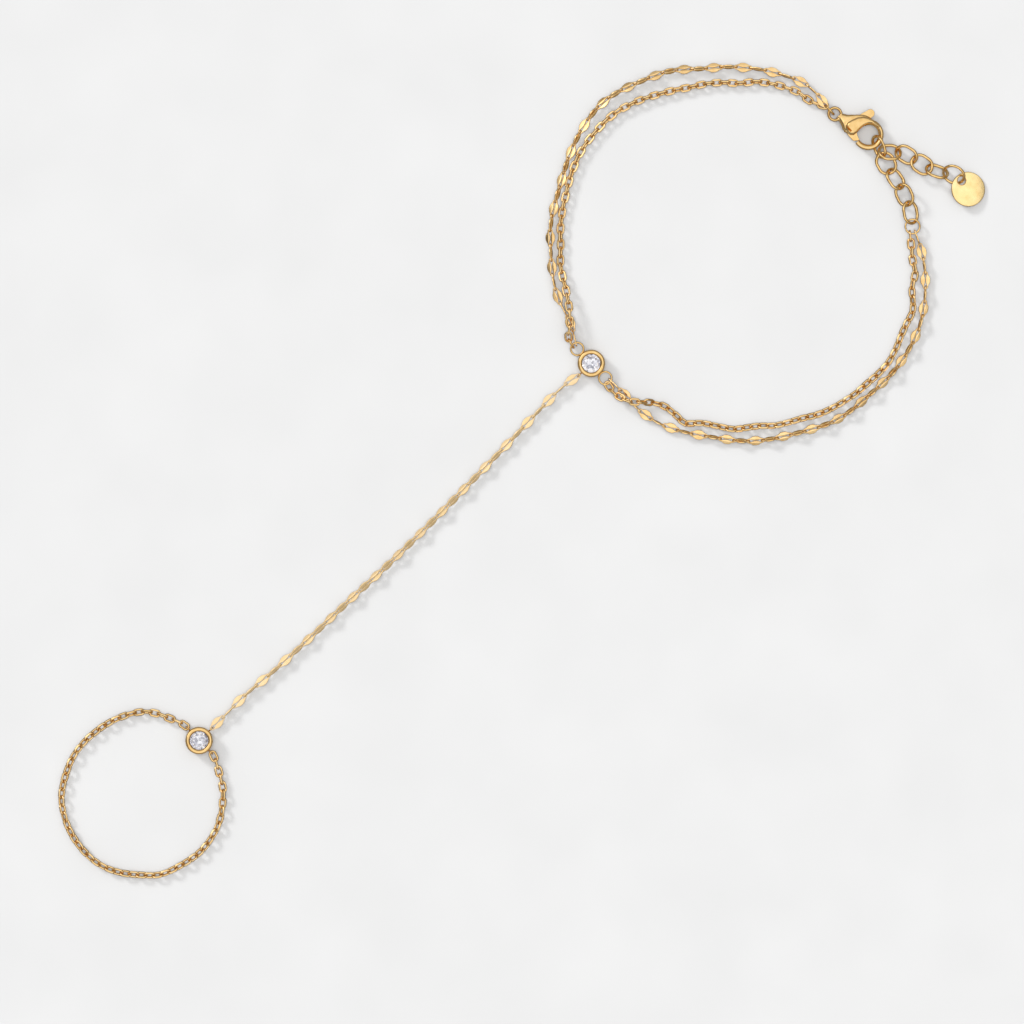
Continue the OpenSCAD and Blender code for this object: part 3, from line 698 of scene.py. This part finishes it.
def cut(thing, shapes):
    """Takes shapes out of an object."""
    cutters = [piece("cutter", shape, None) for shape in shapes]
    for cutter in cutters:
        change = thing.modifiers.new("cut", "BOOLEAN")
        change.operation = "DIFFERENCE"
        change.solver = "MANIFOLD"
        change.object = cutter
    mesh = applied(thing)
    for cutter in cutters:
        bpy.data.objects.remove(cutter)
    return mesh


def body_loft():
    """The clasp's body from its neck to the hollow. A section is x, lowest y, highest y, thickness and the
    power that makes it squarer below 1."""
    sections = [
        (0.55, -0.3, 0.66, 0.84, 1.0), (0.95, -0.25, 1.0, 1.0, 0.9), (1.4, -0.34, 1.28, 1.22, 0.7),
        (1.85, -0.46, 1.79, 1.44, 0.55), (2.35, -0.71, 2.38, 1.6, 0.45), (2.9, -0.81, 2.89, 1.7, 0.42),
        (3.4, -0.72, 3.22, 1.72, 0.42), (3.85, -0.56, 3.38, 1.7, 0.42), (4.15, -0.24, 3.44, 1.64, 0.42),
    ]
    sides = 40
    points = []
    for x, low, high, thick, power in sections:
        for y, z in circle(1, sides):
            y = abs(y) ** power * (1 if y > 0 else -1)
            z = abs(z) ** power * (1 if z > 0 else -1)
            points.append((x, (low + high) / 2 + y * (high - low) / 2, z * thick / 2))
    faces = [tuple(range(sides)), tuple(range(len(points) - sides, len(points)))]
    for i in range(len(sections) - 1):
        for k in range(sides):
            n = (k + 1) % sides
            faces.append((i * sides + k, i * sides + n, (i + 1) * sides + n, (i + 1) * sides + k))
    return points, faces


def prism(outline, low, high):
    """An upright block from a flat outline."""
    count = len(outline)
    points = [(x, y, low) for x, y in outline] + [(x, y, high) for x, y in outline]
    faces = [tuple(range(count)), tuple(range(count, 2 * count))]
    for k in range(count):
        n = (k + 1) % count
        faces.append((k, n, count + n, count + k))
    return points, faces


def wedge(start, end, half, top, bottom):
    """A V-shaped cutter from one point to another."""
    away = Vector(end) - Vector(start)
    side = Vector((-away.y, away.x)).normalized() * half
    points = []
    for x, y in (start, end):
        points += [(x + side.x, y + side.y, top), (x - side.x, y - side.y, top), (x, y, bottom)]
    return points, [(0, 1, 2), (3, 5, 4), (0, 3, 4, 1), (1, 4, 5, 2), (2, 5, 3, 0)]


def raised_face():
    """The teardrop that stands up from both sides of the clasp's body."""
    layers = [(-height, outline) for height, outline in reversed(FACE_LAYERS)] + FACE_LAYERS
    count = len(layers[0][1])
    points = [(x, y, height) for height, outline in layers for x, y in outline]
    faces = [tuple(range(count)), tuple(range(len(points) - count, len(points)))]
    for i in range(len(layers) - 1):
        for k in range(count):
            n = (k + 1) % count
            faces.append((i * count + k, i * count + n, (i + 1) * count + n, (i + 1) * count + k))
    return points, faces


def clasp_casting(material):
    """The lobster clasp: eye, neck, domed body with a raised face, and a hook that thins towards its tip."""
    eye = bar(circle(EYE_R, 48), [EYE_SECTION] * 48, 20)
    turns = np.linspace(158, -117, 64)
    stops = [-117, -60, 30, 110, 158]
    widths = np.interp(turns, stops, [0.76, 0.82, 0.74, 0.78, 0.95])
    heights = np.interp(turns, stops, [1.0, 1.08, 1.12, 1.3, 1.65])
    hook_path = []
    for turn, width in zip(turns, widths):
        reach = HOOK_R - width / 2
        angle = radians(turn)
        hook_path.append((HOOK_AT[0] + reach * cos(angle), HOOK_AT[1] + reach * sin(angle)))
    hook = bar(hook_path, list(zip(widths, heights)), 20, closed=False, crest=-0.1)
    mesh = fused("clasp_casting", [eye, body_loft(), hook, raised_face()])
    thing = finished("clasp_casting", mesh, material, 40)
    # The slot that the lever moves in, the hook's tip beside the gate, and the groove in the upper face
    tip = arc(PIN_AT, GATE_REACH + 0.02, -52, -20, 12) + arc(PIN_AT, 1.9, -20, -52, 6)
    cutters = [
        prism(SLOT_OUTLINE, -SLOT_T / 2, SLOT_T / 2), prism(tip, -CLASP_T, CLASP_T),
        wedge(*SLIT, SLIT_HALF, SLIT_TOP, SLIT_FLOOR),
    ]
    mesh = cut(thing, cutters)
    mesh.transform(Matrix.Translation(Vector(CLASP_AT) * MM))
    return dress(finished("clasp_casting", mesh, material, 40), "bracelet", "gold", "clasp_body")


def clasp_gate(material):
    """The lever: a rounded thumb tab, the plate on the pin and the arm that closes the hook."""
    tab = [(TAB_AT[0] + x, TAB_AT[1] + y) for x, y in arc((0, 0), TAB_R, -20, 185, 21)]
    outline = tab + GATE_LEFT + arc(PIN_AT, GATE_REACH, -49, -27, 7) + GATE_RIGHT
    shape = placed(plate([outline], LEVER_T, EDGE_ROUND), Matrix.Translation(CLASP_AT))
    return dress(piece("clasp_gate", shape, material), "lever", "gold", "clasp_lever")


# Camera, light and floor
def stage():
    bpy.ops.mesh.primitive_plane_add(size=FLOOR_SIDE, location=(0, 0, FLOOR_Z * MM))
    floor = bpy.context.object
    floor.name = "floor"
    floor.data.materials.append(pale_floor())
    floor.visible_glossy = False

    camera_data = bpy.data.cameras.new("camera")
    camera_data.lens = VIEW_LENS
    camera_data.sensor_width = FILM
    camera_data.clip_start = 0.01
    camera_data.clip_end = 20
    camera = bpy.data.objects.new("camera", camera_data)
    camera.location = (VIEW_MIDDLE[0] * MM, VIEW_MIDDLE[1] * MM, VIEW_SIDE * MM * VIEW_LENS / FILM)
    camera.rotation_euler = (0, 0, VIEW_TURN)
    bpy.context.scene.collection.objects.link(camera)
    bpy.context.scene.camera = camera

    for name, aim, angle, energy in LAMPS:
        sun = bpy.data.lights.new(name, "SUN")
        sun.angle = radians(angle)
        sun.energy = energy
        light = bpy.data.objects.new(name, sun)
        light.visible_glossy = False
        light.visible_transmission = False
        light.rotation_euler = Vector(aim).to_track_quat("Z", "Y").to_euler()
        bpy.context.scene.collection.objects.link(light)
    world_light()
    bpy.context.scene.view_settings.view_transform = "Standard"


def world_light():
    """The pale studio: its brightness by height, with the patches laid over it one by one."""
    world = bpy.data.worlds.new("studio")
    bpy.context.scene.world = world
    world.use_nodes = True
    nodes = world.node_tree.nodes
    links = world.node_tree.links
    background = nodes["Background"]
    coords = nodes.new("ShaderNodeTexCoord").outputs["Generated"]
    split = nodes.new("ShaderNodeSeparateXYZ")
    links.new(coords, split.inputs["Vector"])
    up = ramp_node(nodes, links, split.outputs["Z"], [(place, grey(value)) for place, value in DOME])
    light = up.outputs["Color"]
    for aim, full, end, value in PATCHES:
        facing = nodes.new("ShaderNodeVectorMath")
        facing.operation = "DOT_PRODUCT"
        facing.inputs[1].default_value = Vector(aim).normalized()
        links.new(coords, facing.inputs[0])
        mask = nodes.new("ShaderNodeMapRange")
        mask.interpolation_type = "SMOOTHSTEP"
        mask.inputs["From Min"].default_value = cos(radians(end))
        mask.inputs["From Max"].default_value = cos(radians(full))
        links.new(facing.outputs["Value"], mask.inputs["Value"])
        mix = nodes.new("ShaderNodeMix")
        mix.data_type = "RGBA"
        links.new(mask.outputs["Result"], mix.inputs["Factor"])
        links.new(light, mix.inputs[6])
        mix.inputs[7].default_value = (*grey(value), 1)
        light = mix.outputs[2]
    links.new(light, background.inputs["Color"])


stage()
polished = gold("polished_gold", CASTING_TONES, 0.05, 0.18, 0.2)
chain_gold = gold("chain_gold", CHAIN_TONES, 0.08, 0.26, 0.3)
pale_gold = gold("pale_gold", HAND_TONES, 0.36, 0.55, 0.3, 0.5)
tag_gold = gold("tag_gold", TAG_TONES, 0.12, 0.3, 0.3)
clear = stone_painted_glints()

for node, y in (("wrist_stone", 0), ("finger_stone", -HAND_REACH)):
    shape = placed(brilliant(), Matrix.Translation((0, y, 0)))
    dress(piece(node.replace("stone", "brilliant"), shape, clear, 1), "bracelet", "stone", node)
wrist_bezel(polished)
finger_bezel(polished)
clasp_casting(polished)
clasp_gate(polished)

for name, node, link, material in (
    ("hand_links", "hand_chain", lace_link, pale_gold),
    ("lace_left_links", "wrist_lace_left", lace_link, chain_gold),
    ("lace_right_links", "wrist_lace_right", lace_link, chain_gold),
    ("finger_links", "finger_chain", cable_link, chain_gold),
    ("cable_left_links", "wrist_cable_left", cable_link, chain_gold),
):
    strand(name, node, link, material)

right_route = [
    ring_hold((SIDE_RING_X, 0, RING_Z), RING_R, -25), *CABLE_RIGHT, ring_hold(END_RING_AT, END_RING_R, -65),
]
reach = CABLE_L / 2 - CABLE_WIRE - RING_WIRE / 2 - 0.03
right_frames = route_frames(right_route, CABLE_PITCH, reach, CABLE_LEAN, CABLE_SWAY)
right_shape = joined([placed(cable_link(), matrix) for matrix in right_frames])
dress(piece("cable_right_links", right_shape, chain_gold), "bracelet", "gold", "wrist_cable_right")

wire_node("clasp_jump_ring", "clasp_ring", RING_WIRE, polished)
wire_node("end_jump_ring", "end_ring", RING_WIRE, polished, split=20)
wire_node("tag_jump_ring", "tag_ring", TAG_WIRE, polished)
for node in (
    "extension_link_1", "extension_link_2", "extension_link_3", "extension_link_4", "hooked_link",
    "tail_link_1", "tail_link_2", "tail_link_3", "tail_link_4",
):
    wire_node(node.replace("link", "wire"), node, EXTENSION_WIRE, polished)
tag(tag_gold)
